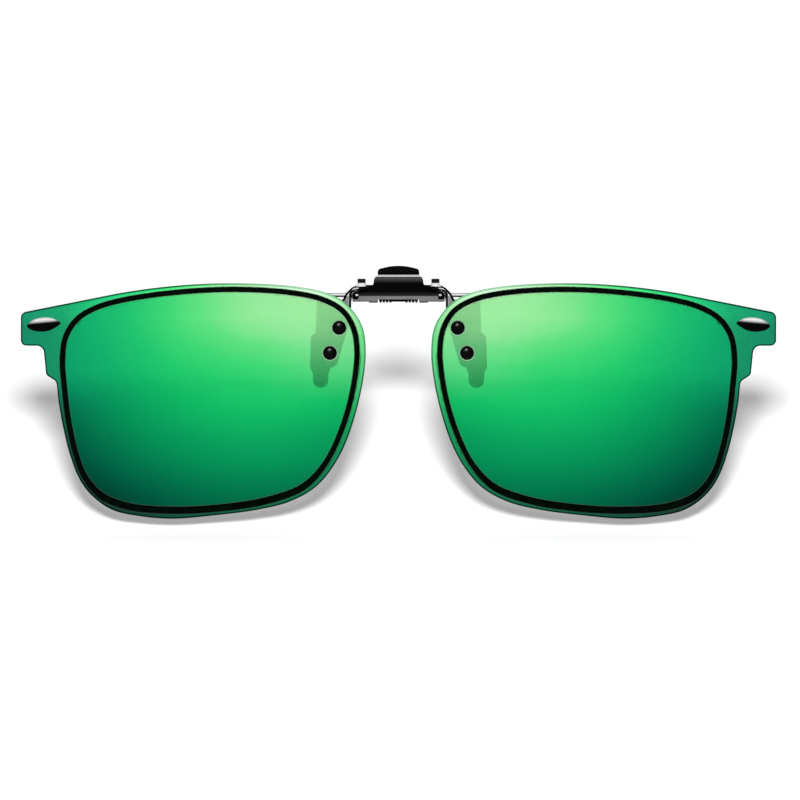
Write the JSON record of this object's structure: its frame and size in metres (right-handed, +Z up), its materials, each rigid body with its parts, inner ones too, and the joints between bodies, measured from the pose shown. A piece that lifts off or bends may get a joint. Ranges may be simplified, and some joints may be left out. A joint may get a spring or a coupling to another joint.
{
  "type": "clip-on sunglasses",
  "caption": "Flip-up clip-on sunglasses: two mirror-coated lens panels hinged on a sprung clamp with rubber-padded legs that grips a pair of spectacles.",
  "frame": {"origin": "middle of the gap between the four pads, in the plane of the spectacle lens that they grip, at the height of the housing's underside", "axes": "+X to the wearer's left, -Y forwards (the way the lenses face), +Z up"},
  "size_m": [0.1456, 0.0122, 0.0487],
  "materials": {
    "black_paint": "gloss black",
    "steel": "polished stainless steel",
    "bright_steel": "bright",
    "black_rubber": "satin black",
    "pad_rubber": "matt",
    "clear_nylon": "clear",
    "black_screw": "gloss black",
    "mirror_green": "green mirror coating on a tinted polarised panel",
    "ring_black": "gloss black",
    "trim_black": "black chrome"
  },
  "bodies": {
    "front_jaw": {"front_housing": "black_paint", "hinge_pin": "steel", "torsion_spring": "steel", "hinge_bush_right": "black_rubber", "hinge_bush_left": "black_rubber", "friction_washer_right": "bright_steel", "friction_washer_left": "bright_steel", "front_leg_right": "steel", "front_leg_left": "steel", "front_pad_right": "pad_rubber", "front_pad_left": "pad_rubber"},
    "rear_jaw": {"rear_plate": "bright_steel", "thumb_grip": "black_rubber", "rear_leg_right": "steel", "rear_leg_left": "steel", "rear_pad_right": "pad_rubber", "rear_pad_left": "pad_rubber"},
    "flip_bridge": {"lens_right": "mirror_green", "lens_left": "mirror_green", "rim_line_right": "ring_black", "rim_line_left": "ring_black", "end_trim_right": "trim_black", "end_trim_left": "trim_black", "lens_arm_right": "steel", "lens_arm_left": "steel", "stop_collar_right": "bright_steel", "stop_collar_left": "bright_steel", "stop_bumper_right": "black_rubber", "stop_bumper_left": "black_rubber", "lens_screw_right_1": "black_screw", "lens_screw_right_2": "black_screw", "lens_screw_left_1": "black_screw", "lens_screw_left_2": "black_screw", "screw_washer_right_1": "clear_nylon", "screw_washer_right_2": "clear_nylon", "screw_washer_left_1": "clear_nylon", "screw_washer_left_2": "clear_nylon", "back_washer_right_1": "clear_nylon", "back_washer_right_2": "clear_nylon", "back_washer_left_1": "clear_nylon", "back_washer_left_2": "clear_nylon", "lens_nut_right_1": "steel", "lens_nut_right_2": "steel", "lens_nut_left_1": "steel", "lens_nut_left_2": "steel"}
  },
  "joints": [
    {"name": "jaw_hinge", "type": "hinge", "parent": "front_jaw", "child": "rear_jaw", "pos_m": [0, -0.004, 0.0011], "axis": [1, 0, 0], "range_deg": [0, 22], "stiffness_Nm_per_rad": 0.03, "springref_deg": -34.38, "deforming": ["torsion_spring"]},
    {"name": "lens_flip", "type": "hinge", "parent": "front_jaw", "child": "flip_bridge", "pos_m": [0, -0.004, 0.0011], "axis": [-1, 0, 0], "range_deg": [0, 90]}
  ]
}
